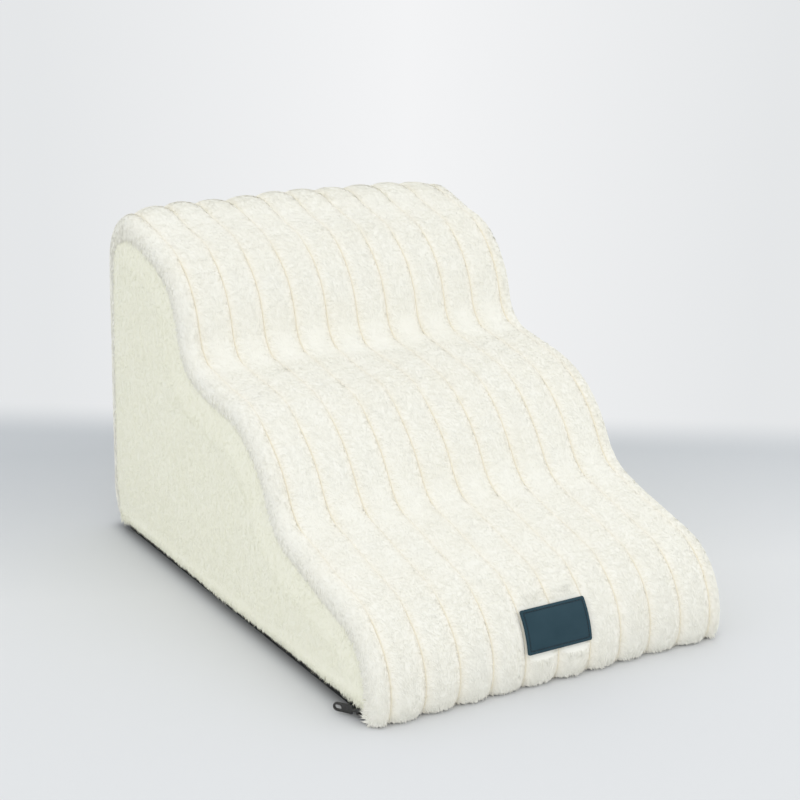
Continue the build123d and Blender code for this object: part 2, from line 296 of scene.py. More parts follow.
def read(items, name, width, kind=np.float32):
    """One property of all the items, as rows of numbers."""
    found = np.empty(len(items) * width, kind)
    items.foreach_get(name, found)
    return found.reshape(-1, width)


def places(mesh):
    """The mesh's points as rows of numbers."""
    return read(mesh.vertices, "co", 3).astype(float)


def move_to(mesh, points):
    """Moves the mesh's points to these places."""
    mesh.vertices.foreach_set("co", points.astype(np.float32).ravel())
    mesh.update()


# %% [markdown]
# ## Reading the steps off the CAD model
# The ribbed panel follows the side outline of the steps. Copying its numbers would
# break when the CAD changes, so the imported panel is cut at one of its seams, and
# the cut's outer line is walked from the front foot to the foot of the back.

# %% The steps' outline
seam_cut = 3 * rib_pitch
weld = 1e-5
near_floor = 0.02
start_steps = 20


def cut_edges(node, x):
    """The edges of a node's cut at a place across the width, as pairs of (y, z)."""
    work = bmesh.new()
    work.from_mesh(nodes[node].data)
    bmesh.ops.remove_doubles(work, verts=work.verts, dist=weld)
    everything = work.verts[:] + work.edges[:] + work.faces[:]
    found = bmesh.ops.bisect_plane(
        work, geom=everything, dist=weld, plane_co=(x, 0, 0), plane_no=(1, 0, 0)
    )
    pairs = []
    for item in found["geom_cut"]:
        if isinstance(item, bmesh.types.BMEdge):
            pairs.append([(round(v.co.y, 6), round(v.co.z, 6)) for v in item.verts])
    work.free()
    return pairs


def outer_line(pairs):
    """Walks round the cut from its lowest front point, up, over and down the back."""
    beside = {}
    for a, b in pairs:
        beside.setdefault(a, []).append(b)
        beside.setdefault(b, []).append(a)
    foot = min(z for _, z in beside)
    here = min(p for p in beside if p[1] < foot + weld)
    line = [here]
    before = None
    while True:
        ways = [p for p in beside[here] if p != before]
        step = max(ways, key=lambda p: p[1]) if before is None else ways[0]
        level = abs(step[1] - here[1]) < weld
        if level and here[1] < near_floor and len(line) > start_steps:
            return np.array(line)
        line.append(step)
        before, here = here, step


steps_line = outer_line(cut_edges("ribbed_cover_panel", seam_cut))
print("outline:", len(steps_line), "points, from", steps_line[0], "to", steps_line[-1])

# %% Even points along it
along_step = 0.005


def between(at, run, rows):
    """The rows' two values at places between the runs that they stand at."""
    return np.column_stack([np.interp(at, run, rows[:, i]) for i in (0, 1)])


def evenly(line, step):
    """The line's points at even distances, with the outward direction at each."""
    gaps = np.linalg.norm(np.diff(line, axis=0), axis=1)
    run = np.concatenate([[0], np.cumsum(gaps)])
    count = int(round(run[-1] / step)) + 1
    at = np.linspace(0, run[-1], count)
    points = between(at, run, line)
    ways = np.gradient(points, axis=0)
    for _ in range(3):
        ways[1:-1] = (ways[:-2] + 2 * ways[1:-1] + ways[2:]) / 4
    ways /= np.linalg.norm(ways, axis=1)[:, None]
    return points, np.column_stack([-ways[:, 1], ways[:, 0]]), at


path, outward, path_run = evenly(steps_line, along_step)
print("panel length:", round(path_run[-1], 4), "m in", len(path), "rows")

# %% Where the seams show
# Round the risers the seams open and show; on the level treads the pile closes.
least_show = 0.3
level_from = 0.98
level_change = 0.15


def seam_shows():
    level = outward[:, 1].copy()
    for _ in range(4):
        level[1:-1] = (level[:-2] + level[1:-1] + level[2:]) / 3
    return np.clip((level_from - level) / level_change, least_show, 1)


def opened(show):
    """0 where a seam shows least, 1 where it shows most."""
    return np.clip((show - least_show) / (1 - least_show), 0, 1)


show_by_row = seam_shows()
print("seams show on", round(float((show_by_row > 0.5).mean()), 2), "of the length")

# %% [markdown]
# ## The ribbed panel under its pile
# The ribs are channels that are sewn down at each seam and swell between them, so
# a rib's section is nearly half an ellipse and the seams are sharp valleys. The
# outermost ribs roll over the edge of the foam and end in a lip on the side.
# A grid is added with one column for each point of that section and one row for
# each step along the outline, and each of its points is moved to its place.

# %% The section across the width
pile_depth = 0.0016
rib_crest = 0.0075 - pile_depth
rib_fullness = 0.8
seam_sink = -0.0017
rib_points = 14
last_seam = 0.182
roll_middle = 0.188
roll_low = -0.006
roll_radius = 0.012 - pile_depth
lip_end = -0.0142
lip_tuck = 0.0005
tread_seam = 0.0044
riser_seam = 0.0012


def rib_section(left, right):
    """Places (x, height) of one rib between two seams, its right seam left out."""
    turn = np.linspace(0, math.pi, rib_points + 1)[:-1]
    x = (left + right) / 2 - (right - left) / 2 * np.cos(turn)
    height = seam_sink + (rib_crest - seam_sink) * np.sin(turn) ** rib_fullness
    return np.column_stack([x, height])


def edge_section():
    """Places from the last seam on the right over the edge to the lip's end."""
    up = np.linspace(0, math.pi / 2, 7)[:-1]
    rise = roll_low + roll_radius - seam_sink
    across = roll_middle - (roll_middle - last_seam) * np.cos(up)
    first = np.column_stack([across, seam_sink + rise * np.sin(up)])
    down = np.linspace(math.pi / 2, 0, 8)
    around = np.column_stack([np.cos(down), np.sin(down)])
    roll = (roll_middle, roll_low) + roll_radius * around
    side = roll_middle + roll_radius
    lip = [
        (side, roll_low + (lip_end - roll_low) * 0.5),
        (side - lip_tuck / 3, roll_low + (lip_end - roll_low) * 0.8),
        (side - lip_tuck, lip_end),
    ]
    return np.concatenate([first, roll, lip])


right_edge = edge_section()
left_edge = right_edge[::-1] * (-1, 1)
ribs = [rib_section(rib_pitch * i, rib_pitch * (i + 1)) for i in range(-5, 5)]
section = np.concatenate([left_edge[:-1], *ribs, right_edge])
print("section:", len(section), "points")

# %% Soft unevenness
slack = 0.0011
ripple_waves = 7


def ripple(points, size, seed):
    """Soft random heights over points, mostly -1 to 1, with lumps of about that size."""
    draw = np.random.default_rng(seed)
    total = np.zeros(len(points))
    for _ in range(ripple_waves):
        way = draw.normal(size=3)
        way *= draw.uniform(0.6, 1.5) * 2 * math.pi / size / np.linalg.norm(way)
        total += np.sin(points @ way + draw.uniform(0, 2 * math.pi))
    return total / (ripple_waves / 2)


print("unevenness up to about", slack * 1000, "mm")

# %% The hollow under the patch
patch_low, patch_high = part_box("label_patch")
patch_seat = 0.0024
patch_ease = 0.0045
patch_flat = 1.3
patch_behind = 0.02


def past_patch(points):
    """How far points are past the patch's outline, less than 0 inside it."""
    beside = np.abs(points[:, 0]) - patch_high.x
    above = np.maximum(points[:, 2] - patch_high.z, patch_low.z - points[:, 2])
    front = points[:, 1] < patch_high.y + patch_behind
    return np.where(front, np.maximum(beside, above), 1)


def patch_cover(points):
    """1 under the patch, 0 away from it, and in between round its edge."""
    past = np.maximum(past_patch(points), 0)
    return np.clip(patch_flat - past / patch_ease, 0, 1)


print("the patch is", round(patch_high.x - patch_low.x, 4), "m wide")

# %% Moving the grid to the steps
arch = 0.0035
arch_reach = 0.075
half_width = 0.200
lowest_cloth = 0.0014
top_back = path_run[np.argmax(path.sum(axis=1))]
bend_reach = 0.045
bend_crest = 0.0062
bend_fullness = 0.30
foot_reach = 0.030
corner_drop = 0.0065
corner_from = 0.13
corner_run = 0.06
slack_size = 0.09


def near_bend(run):
    """1 where the panel turns down the back, where its seams pull deepest."""
    return np.exp(-(((run - top_back) / bend_reach) ** 2))


def near_foot(run):
    """1 at both ends of the panel, where its ribs are sewn flat."""
    return np.exp(-((np.minimum(run, path_run[-1] - run) / foot_reach) ** 2))


def shallow(x, height, row):
    """Lifts the valleys where the pile closes them, by the row's place."""
    top = np.where(np.abs(x) > last_seam, roll_low + roll_radius, rib_crest)
    share = np.clip((height - seam_sink) / (top - seam_sink), 0, 1)
    valley = tread_seam + (riser_seam - tread_seam) * opened(show_by_row[row])
    bend = near_bend(path_run[row])
    valley = valley + (seam_sink - valley) * np.maximum(bend, near_foot(path_run[row]))
    share = share ** (1 - bend_fullness * bend)
    return valley + (top + bend_crest * bend - valley) * share


def raised_roll(height, row):
    """Lifts the rolled edge with its neighbours at the bend, but not its lip."""
    share = np.clip((height - lip_end) / (roll_low + roll_radius - lip_end), 0, 1)
    return height + bend_crest * near_bend(path_run[row]) * share


def note_show(mesh, values):
    """Keeps on each point how much the seams show there, for the plush to read."""
    kept = mesh.attributes.new("seam_show", "FLOAT", "POINT")
    kept.data.foreach_set("value", values.astype(np.float32))


def grid_on(name, columns, rows):
    """A grid piece, with the column and the row of each of its points."""
    bpy.ops.object.select_all(action="DESELECT")
    bpy.ops.mesh.primitive_grid_add(
        x_subdivisions=columns - 1, y_subdivisions=rows - 1, size=1.0
    )
    piece = bpy.context.object
    piece.name = name
    grid = places(piece.data)
    column = np.rint((grid[:, 0] + 0.5) * (columns - 1)).astype(int)
    row = np.rint((grid[:, 1] + 0.5) * (rows - 1)).astype(int)
    return piece, column, row


def make_ribbed_panel():
    panel, column, row = grid_on("ribbed_plush_panel", len(section), len(path))
    x, height = section[column].T
    middle = 1 - (x / half_width) ** 2
    rise = arch * middle * np.exp(-(((path_run[row] - top_back) / arch_reach) ** 2))
    flat = np.column_stack([x, path[row]])
    edge = np.clip((np.abs(x) - corner_from) / corner_run, 0, 1) ** 2
    rise -= corner_drop * edge * near_bend(path_run[row])
    ribbed = shallow(x, height, row)
    height = np.where(np.abs(x) < roll_middle, ribbed, raised_roll(height, row))
    height = height + rise + slack * ripple(flat, slack_size, 3)
    pressed = patch_cover(flat)
    height = height * (1 - pressed) + np.minimum(height, patch_seat) * pressed
    points = np.column_stack([x, path[row] + outward[row] * height[:, None]])
    points[:, 2] = np.maximum(points[:, 2], lowest_cloth)
    move_to(panel.data, points)
    panel.data.uv_layers[0].name = "OFBake"
    note_show(panel.data, show_by_row[row])
    return panel


ribbed_panel = make_ribbed_panel()
print("grid:", len(ribbed_panel.data.polygons), "faces")

# %% [markdown]
# ## The plain sides under their pile
# Each side is one flat panel of the same plush, sewn in just inside the edge. It
# is filled by the foam behind it, so it swells a little between its seams. A copy
# of the CAD panel is remeshed evenly and thinned by the depth of the pile. Its rim
# goes under the lip of the ribbed panel, and its hem rolls out a little over the
# zip. A short cloth simulation blows it up, and how far a point moves is limited.

# %% Sides
side_voxel = 0.0045
tape_face = 0.192
cad_side_depth = 0.0109
side_depth = 0.0094
rim_depth = 0.0054
rim_run = 0.030
back_cover = 0.0040
back_from = 0.3
back_run = 0.5
rim_tuck = 0.007
tuck_start = 1.8
tuck_run = 0.018
hem_middle = 0.019
hem_half = 0.012
hem_roll = 0.0020
outer_part = 0.004
still_rim = 0.012
swell_run = 0.03
most_swell = 0.0025


def to_rim(points):
    """How far each point is inside the steps' outline, and which way the line is."""
    apart = path[None] - points[:, None, 1:]
    far = np.linalg.norm(apart, axis=2)
    nearest = far.argmin(axis=1)
    inside = -(apart[np.arange(len(points)), nearest] * -outward[nearest]).sum(axis=1)
    return inside, outward[nearest]


def smooth(piece, rounds):
    apply(piece, "SMOOTH", iterations=rounds, factor=0.5)


def swell(piece, frames, pressure):
    """Blows a closed pad up with Blender's cloth and limits how far a point moves."""
    before = places(piece.data)
    only(piece)
    cloth = piece.modifiers.new("cloth", "CLOTH")
    cloth.settings.use_pressure = True
    cloth.settings.uniform_pressure_force = pressure
    cloth.settings.effector_weights.gravity = 0
    cloth.point_cache.frame_end = frames
    for frame_number in range(1, frames + 1):
        bpy.context.scene.frame_set(frame_number)
    bpy.ops.object.modifier_apply(modifier=cloth.name)
    bpy.context.scene.frame_set(1)
    moved = places(piece.data) - before
    far = np.linalg.norm(moved, axis=1)
    limit = most_swell * np.clip((to_rim(before)[0] - still_rim) / swell_run, 0, 1)
    share = np.minimum(1, limit / np.maximum(far, weld))
    move_to(piece.data, before + moved * share[:, None])
    print(piece.name, "swelled by up to", round(1000 * min(far.max(), most_swell), 2), "mm")


def copy_of(node, name):
    """A welded copy of a CAD node's mesh, as a new piece at the origin."""
    piece = added(name, nodes[node].data.copy())
    on_all(piece, bpy.ops.mesh.remove_doubles, threshold=weld)
    on_all(piece, bpy.ops.mesh.normals_make_consistent, inside=False)
    return piece


def make_side(node, name):
    side = copy_of(node, name)
    apply(side, "REMESH", mode="VOXEL", voxel_size=side_voxel)
    points = places(side.data)
    way = np.sign(points[:, 0].mean())
    inside, out_way = to_rim(points)
    full = np.clip((inside + lip_end) / rim_run, 0, 1)
    rim = rim_depth + back_cover * np.clip((out_way[:, 0] - back_from) / back_run, 0, 1)
    depth = rim + (side_depth - rim) * full * full * (3 - 2 * full)
    share = (np.abs(points[:, 0]) - tape_face) / cad_side_depth
    points[:, 0] = way * (tape_face + depth * share)
    tuck = rim_tuck * np.clip(tuck_start - inside / tuck_run, 0, 1)
    points[:, 1:] += out_way * tuck[:, None]
    rolled = np.clip(1 - np.abs(points[:, 2] - hem_middle) / hem_half, 0, 1)
    outer = np.abs(points[:, 0]) > tape_face + outer_part
    points[:, 0] += way * hem_roll * rolled * outer
    move_to(side.data, points)
    smooth(side, 2)
    swell(side, frames=12, pressure=2.0)
    bpy.ops.object.shade_smooth()
    return side


left_side = make_side("left_side_panel", "left_plush_side")
right_side = make_side("right_side_panel", "right_plush_side")

# %% Flat maps of the sides
map_size = 0.62
map_start = (0.295, 0.01)
inner_depth = 0.001
inner_shift = (0, 0.45)


def lay_map(mesh, flat):
    """Lays each corner of the mesh on its own map at its point's flat place."""
    layer = mesh.uv_layers.get("OFBake") or mesh.uv_layers.new(name="OFBake")
    corner = read(mesh.loops, "vertex_index", 1, np.int32).ravel()
    layer.data.foreach_set("uv", flat[corner].astype(np.float32).ravel())


for side in (left_side, right_side):
    flat = places(side.data)[:, 1:] + map_start
    inner = np.abs(places(side.data)[:, 0]) < tape_face + inner_depth
    lay_map(side.data, flat / map_size + inner[:, None] * inner_shift)
    print(side.name, "is", np.ptp(flat[:, 0]).round(3), "m long on a map of", map_size)

# %% [markdown]
# ## The pile
# The pile is hundreds of thousands of small tufts. One tuft is a flat wedge with
# four faces: two points at its root, a low ridge and a tip, so from a step away it
# is no wider than a lock of pile. Spots are drawn over the mesh by area. A tuft
# lies nearly flat, down the pile and in small waves with its neighbours. Where a
# seam shows, the tufts beside it are shorter and turned aside, as sewing presses
# them, and at the hems some stand up.

# %% Drawing spots on a mesh
def spots_on(mesh, per_square_metre, seed, wanted):
    """Random places on a mesh where wanted, with the normal and map place at each."""
    mesh.calc_loop_triangles()
    corners = read(mesh.loop_triangles, "vertices", 3, np.int32)
    loops = read(mesh.loop_triangles, "loops", 3, np.int32)
    areas = read(mesh.loop_triangles, "area", 1).ravel()
    normals = read(mesh.vertex_normals, "vector", 3)
    flat = read(mesh.uv_layers["OFBake"].data, "uv", 2)
    points = places(mesh)
    areas = areas * wanted(points[corners].mean(axis=1))
    draw = np.random.default_rng(seed)
    wished = int(areas.sum() * per_square_metre)
    chosen = draw.choice(len(corners), wished, p=areas / areas.sum())
    a, b = draw.random(len(chosen)), draw.random(len(chosen))
    over = a + b > 1
    a[over], b[over] = 1 - a[over], 1 - b[over]
    weights = np.stack([1 - a - b, a, b], axis=1)[:, :, None]
    return (
        (points[corners[chosen]] * weights).sum(axis=1),
        (normals[corners[chosen]] * weights).sum(axis=1),
        (flat[loops[chosen]] * weights).sum(axis=1),
        draw,
    )


print("spots are drawn by area")

# %% Growing tufts
tuft_lean = 1.49
least_lean = 0.9
most_lean = 1.53
lean_spread = 0.015
wave_across = 0.3
wave_turn = 0.40
slow_turn = 0.3
own_turn = 0.20
aside_turn = 1.3
tuft_sink = 0.0004
ridge_place = 0.25
tuft_ridge = 0.032
lowest_tuft = 0.0004


def repeat(name, points, faces, smooth):
    """A piece of small copies: each copy's points, and the faces of one copy."""
    copies, size, _ = points.shape
    start = np.arange(copies)[:, None] * size
    rows = np.concatenate([start + face for face in faces])
    mesh = bpy.data.meshes.new(name)
    mesh.from_pydata(points.reshape(-1, 3), [], rows)
    mesh.polygons.foreach_set("use_smooth", np.full(len(rows), smooth))
    return added(name, mesh)


def unit(rows):
    return rows / np.maximum(np.linalg.norm(rows, axis=1), 1e-9)[:, None]


def lean_of(roots, first, draw):
    """Which way each tuft turns and how far it leans: down the pile, in small waves."""
    waves = np.column_stack([roots @ first[0] * wave_across, roots[:, 1:]])
    turn = wave_turn * ripple(waves, 0.012, 11) + slow_turn * ripple(roots, 0.05, 12)
    turn += draw.normal(0, own_turn, len(roots))
    tilt = tuft_lean + lean_spread * ripple(waves, 0.009, 13)
    tilt = tilt + draw.normal(0, lean_spread, len(roots))
    return turn, np.clip(tilt, least_lean, most_lean)


def grow(name, spots, draw, down, length, width, aside, show, stand, map_scale):
    """A mesh of tufts on spots: aside turns them off the pile's way, stand lifts them."""
    roots, normals, flat = spots
    second = unit(down - normals * (down * normals).sum(axis=1)[:, None])
    first = np.cross(normals, second)
    turn, tilt = lean_of(roots, first, draw)
    tilt -= stand
    turn = turn * (1 - np.abs(aside)) + aside * aside_turn
    way = first * np.sin(turn)[:, None] + second * np.cos(turn)[:, None]
    axis = way * np.sin(tilt)[:, None] + normals * np.cos(tilt)[:, None]
    up = normals * np.sin(tilt)[:, None] - way * np.cos(tilt)[:, None]
    side = np.cross(axis, up) * (width / 2)[:, None]
    low = roots - normals * tuft_sink
    ridge = up * (tuft_ridge * width)[:, None]
    points = np.stack(
        [
            low - side,
            low + side,
            roots + axis * (ridge_place * length)[:, None] + ridge,
            roots + axis * length[:, None],
        ],
        axis=1,
    )
    points[:, :, 2] = np.maximum(points[:, :, 2], lowest_tuft)
    offset = points - roots[:, None]
    maps = np.stack(
        [(offset * first[:, None]).sum(axis=2), -(offset * second[:, None]).sum(axis=2)],
        axis=2,
    )
    maps = flat[:, None] + maps * map_scale
    pile = repeat(name, points, ((0, 2, 3), (2, 1, 3), (1, 0, 3), (0, 1, 2)), False)
    lay_map(pile.data, maps.reshape(-1, 2))
    note_show(pile.data, np.repeat(show, 4))
    return pile


print("a tuft has four faces")

# %% [markdown]
# The ribbed pile is split into one piece for each rib, so that each stays a mesh
# that other tools can open. Its map lays a rib's long strip in five columns.

# %% Where the ribbed pile grows
tufts_per_square_metre = 560_000
tuft_length = 0.0050
tuft_width = 0.0016
length_spread = (0.7, 1.25)
width_spread = (0.7, 1.2)
lock_contrast = 0.9
patch_margin = 0.0012
edge_rise = 0.009


def away_from_patch(points):
    """0 under the patch, 1 elsewhere."""
    return past_patch(points) >= patch_margin


def on_rib(x):
    """How far x is from its seam, 0 to 1, on which side, and if past the last one."""
    phase = (x / rib_pitch + 0.5) % 1 - 0.5
    from_seam = np.abs(phase) * 2
    past = np.abs(x) > last_seam
    from_seam[past] = np.minimum(1, (np.abs(x[past]) - last_seam) / edge_rise)
    return from_seam, np.sign(np.where(past, x, phase)), past


def locks(roots, level, size, seed):
    """1 where the tufts hang together in a longer lock, 0 between the locks."""
    return np.clip(level + lock_contrast * ripple(roots, size, seed), 0, 1)


print("about", round(tufts_per_square_metre * rib_pitch * path_run[-1]), "tufts to a rib")

# %% The ribbed pile's map
first_rib, last_rib = -6, 5
column_run = 0.23
column_width = 0.056
columns_size = 0.285
columns_start = (0.006, 0.01)
left_start = 0.016
edge_squeeze = 0.4
squeeze_from = 0.197


def strip_map(x, run, rib, past):
    """The map's place for each tuft, with the rolled edges squeezed a little."""
    column = np.floor(run / column_run)
    local = x - rib * rib_pitch
    local[rib == first_rib] = x[rib == first_rib] + half_width + left_start
    local += np.where(past, np.sign(x) * edge_squeeze * (squeeze_from - np.abs(x)), 0)
    across = column * column_width + local + columns_start[0]
    along = run - column * column_run + columns_start[1]
    return np.column_stack([across, along]) / columns_size


print("columns to a rib:", math.ceil(path_run[-1] / column_run))

# %% The ribbed pile
seam_length = 0.95
pressed_off = 0.55
pressed_reach = 0.8
over_from = -0.002
over_run = 0.008
over_growth = 0.5
over_stand = 0.08
foot_growth = 0.7
front_stand = 0.06
front_run = 0.11
loose_share = 0.35
loose_stand = 0.45
loose_below = 0.014
loose_run = 0.008


def grow_ribs():
    """Tufts on the ribbed panel. On its lips they turn in over the side panels."""
    roots, normals, flat, draw = spots_on(
        ribbed_panel.data, tufts_per_square_metre, 5, away_from_patch
    )
    normals = unit(normals)
    x, count = roots[:, 0], len(roots)
    run = flat[:, 1] * path_run[-1]
    from_seam, seam_side, past = on_rib(x)
    full = np.sqrt(1 - (1 - from_seam) ** 2)
    show = np.interp(run, path_run, show_by_row)
    foot = near_foot(run)
    press = np.maximum(opened(show), np.maximum(near_bend(run), foot))
    aside = seam_side * np.clip(1 - from_seam / pressed_reach, 0, 1) * press
    line_out = between(run, path_run, outward)
    above = ((roots[:, 1:] - between(run, path_run, path)) * line_out).sum(axis=1)
    over = np.clip((over_from - above) / over_run, 0, 1) * past
    aside = np.where(over > 0, np.sign(x) * over, aside)
    least = seam_length - pressed_off * press
    length = tuft_length * (least + (1 - least) * full) * draw.uniform(*length_spread, count)
    width = tuft_width * draw.uniform(*width_spread, count)
    lock = locks(roots, 0.4, 0.010, 33)
    length *= 1 + foot_growth * foot * lock * full * draw.uniform(0.2, 1.0, count)
    length *= 1 + over * draw.uniform(0.0, over_growth, count)
    stand = front_stand * np.clip(1 - run / front_run, 0, 1) + over_stand * over
    loose = draw.random(count) < loose_share
    stand += loose * loose_stand * np.clip((loose_below - roots[:, 2]) / loose_run, 0, 1)
    rib = np.clip(np.floor(x / rib_pitch), first_rib, last_rib).astype(int)
    maps = strip_map(x, run, rib, past)
    down = np.column_stack([np.zeros(count), -line_out[:, 1], line_out[:, 0]])
    for i in range(first_rib, last_rib + 1):
        mine = rib == i
        pile = grow(
            f"ribbed_pile_{i - first_rib + 1:02d}",
            (roots[mine], normals[mine], maps[mine]), draw, down[mine],
            length[mine], width[mine], aside[mine], show[mine], stand[mine],
            1 / columns_size,
        )
        fit(pile, ribbed_plush)


grow_ribs()

# %% The sides' pile
side_tufts = 372_000
side_length = 0.9
outer_face = 0.0012
fringe_top = 0.0245
fringe_run = 0.008
fringe_more = 2.0
fringe_growth = 0.9
fringe_width = 0.3
fringe_loose = 0.40
fringe_stand = 0.50
laid_stand = 0.06


def faces_out(points):
    """1 where the side faces out, more along its hem, 0 on its back."""
    fringe = 1 + fringe_more * (points[:, 2] < fringe_top)
    return (np.abs(points[:, 0]) > tape_face + outer_face) * fringe


def grow_side(side, name, seed):
    roots, normals, flat, draw = spots_on(side.data, side_tufts, seed, faces_out)
    count = len(roots)
    length = tuft_length * side_length * draw.uniform(*length_spread, count)
    hem = np.clip((fringe_top - roots[:, 2]) / fringe_run, 0, 1)
    lock = locks(roots, 0.5, 0.011, 31)
    length *= 1 + hem * lock * draw.uniform(0.0, fringe_growth, count)
    width = tuft_width * draw.uniform(*width_spread, count) * (1 + fringe_width * hem)
    loose = draw.random(count) < fringe_loose
    stand = hem * np.where(loose, fringe_stand, laid_stand)
    down = np.array([[0.0, 0.0, -1.0]])
    pile = grow(
        name, (roots, unit(normals), flat), draw, down, length, width,
        np.zeros(count), np.zeros(count), stand, 1 / map_size,
    )
    fit(pile, plain_plush)


grow_side(left_side, "left_side_pile", 21)
grow_side(right_side, "right_side_pile", 22)

# %% Closing the panels
panel_thickness = 0.0014
apply(ribbed_panel, "SOLIDIFY", thickness=panel_thickness, offset=-1.0)
only(ribbed_panel)
bpy.ops.object.shade_smooth()
fit(ribbed_panel, ribbed_plush, ["ribbed_cover_panel"])
fit(left_side, plain_plush, ["left_side_panel"])
fit(right_side, plain_plush, ["right_side_panel"])

# %% [markdown]
# ## Foam
# Nobody sees the foam, but the part has it, so it gets its own finish:
# yellowish upholstery foam for the slabs and a paler soft foam round them. A
# remesh evens out the CAD's long thin faces and takes the sharpness off the edges.


# %% Foam
def foam(name, light, shade, cells_per_metre):
    """Cut foam: open cells that show as fine pores, and a slow change of colour."""
    paint = Paint(name, {"Specular IOR Level": 0.15, "Roughness": 0.95})
    pores = paint.pattern("ShaderNodeTexVoronoi", cells_per_metre, "Distance", feature="F1")
    aged = paint.noise(9.0)
    paint.colour(paint.mix((aged * 1.6 - 0.3 + pores * 0.4).clipped(), light, shade))
    paint.bump(pores, 0.0008, 0.6)
    return paint.material


firm_voxel = 0.007
soft_voxel = 0.0055


def make_foam():
    firm = foam("foam", (0.80, 0.73, 0.50), (0.70, 0.62, 0.38), 420.0)
    soft = foam("comfort_foam", (0.86, 0.86, 0.84), (0.76, 0.76, 0.73), 600.0)
    work = [
        ("foam_base_slab", "base_foam", firm_voxel, firm, "foam"),
        ("foam_middle_slab", "middle_foam", firm_voxel, firm, "foam"),
        ("foam_top_slab", "top_foam", firm_voxel, firm, "foam"),
        ("comfort_layer", "comfort_foam_wrap", soft_voxel, soft, "comfort_foam"),
    ]
    for node, name, voxel, finish, slot in work:
        block = copy_of(node, name)
        apply(block, "REMESH", mode="VOXEL", voxel_size=voxel)
        smooth(block, 1)
        bpy.ops.object.shade_smooth()
        fit(block, finish, [node])


make_foam()

# %% [markdown]
# ## The zip
# A coil zip has two tapes of ribbon with a coiled monofilament sewn along the edge
# of each. One turn of the coil is a small ring; it is modelled once and copied
# along the line that the zip takes round the bottom of the cover.

# %% The zip's line
zip_front = -0.2654
zip_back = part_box("zip_tape_upper")[1].y
zip_corner = 0.015


def zip_line(out, front, step):
    """Even points round the left side, the back and the right side."""
    x, y, radius = tape_face + out, zip_back + out, zip_corner + out
    turn = np.linspace(0, math.pi / 2, 13)
    left = np.column_stack(
        [-x + radius - radius * np.cos(turn), y - radius + radius * np.sin(turn)]
    )
    right = left[::-1] * (-1, 1)
    return evenly(np.concatenate([[(-x, front)], left, right, [(x, front)]]), step)


print("zip length:", round(zip_line(0.0, zip_front, 0.01)[2][-1], 3), "m")

# %% Tapes
tape_step = 0.006
tape_thickness = 0.0006


def ribbon_cloth():
    """Black polyester ribbon: a fine weave and a slight shine."""
    paint = Paint("zip_tape", {"Sheen Weight": 0.1, "Specular IOR Level": 0.35})
    weave = paint.pattern("ShaderNodeTexChecker", 1400.0, "Fac")
    dust = paint.noise(60.0)
    share = (weave * 0.35 + dust * 0.5).clipped()
    paint.colour(paint.mix(share, (0.010, 0.011, 0.011), (0.028, 0.030, 0.029)))
    paint.rough(0.72 + dust * 0.15)
    paint.bump(weave, 0.00015)
    return paint.material


def make_tape(name, node, profile, finish):
    """A ribbon with that profile, as (out from the zip's face, height)."""
    line, outward_way, _ = zip_line(0.0, zip_front, tape_step)
    profile = np.array(profile)
    tape, column, row = grid_on(name, len(profile), len(line))
    out, height = profile[column].T
    points = np.column_stack([line[row] + outward_way[row] * out[:, None], height])
    move_to(tape.data, points)
    on_all(tape, bpy.ops.mesh.normals_make_consistent, inside=False)
    apply(tape, "SOLIDIFY", thickness=tape_thickness, offset=0.0)
    bpy.ops.object.shade_smooth_by_angle(angle=math.radians(40))
    fit(tape, finish, [node])


tape_cloth = ribbon_cloth()
upper_profile = [(-0.0003, z / 1000) for z in (8.0, 10.5, 13.0, 16.0, 19.0, 22.3)]
lower_profile = [(-0.0003, z / 1000) for z in (6.8, 5.0, 3.2)]
lower_profile += [(-0.0010, 0.0019), (-0.0030, 0.0016), (-0.0064, 0.0016)]
make_tape("upper_zip_tape", "zip_tape_upper", upper_profile, tape_cloth)
make_tape("lower_zip_tape", "zip_tape_lower", lower_profile, tape_cloth)

# %% Coils
coil_start = 0.0004
coil_radius = 0.0012
coil_step = 0.0013
coil_lean = 0.35
coil_squeeze = 0.9
upper_coil = 0.0080
lower_coil = 0.0044


def coil_plastic():
    """Black monofilament: smooth, with a soft shine."""
    paint = Paint("zip_coil", {"Specular IOR Level": 0.5})
    dust = paint.noise(90.0)
    paint.colour(paint.mix(dust, (0.008, 0.009, 0.009), (0.026, 0.028, 0.028)))
    paint.rough(0.34 + dust * 0.2)
    return paint.material


def make_ring():
    """One turn of the coil: a ring of thin filament, seen along the zip."""
    bpy.ops.object.select_all(action="DESELECT")
    bpy.ops.mesh.primitive_torus_add(
        major_segments=8, minor_segments=3, major_radius=0.00082, minor_radius=0.00036
    )
    ring = bpy.context.object
    points = places(ring.data)
    faces = [list(face.vertices) for face in ring.data.polygons]
    bpy.data.objects.remove(ring)
    return points, faces


def make_coil(name, node, low, lean, finish):
    coil_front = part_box(node)[0].y + coil_start
    line, outward_way, _ = zip_line(coil_radius, coil_front, coil_step)
    along = np.column_stack([outward_way[:, 1], -outward_way[:, 0]])
    ring, faces = make_ring()
    out, height, forward = ring.T
    forward = forward * coil_squeeze + out * lean
    flat = (
        line[:, None]
        + outward_way[:, None] * out[None, :, None]
        + along[:, None] * forward[None, :, None]
    )
    tall = np.broadcast_to(low + coil_radius + height, flat.shape[:2])
    coil = repeat(name, np.dstack([flat, tall]), faces, True)
    fit(coil, finish, [node])


filament = coil_plastic()
make_coil("upper_zip_coil", "zip_coil_upper", upper_coil, coil_lean, filament)
make_coil("lower_zip_coil", "zip_coil_lower", lower_coil, -coil_lean, filament)

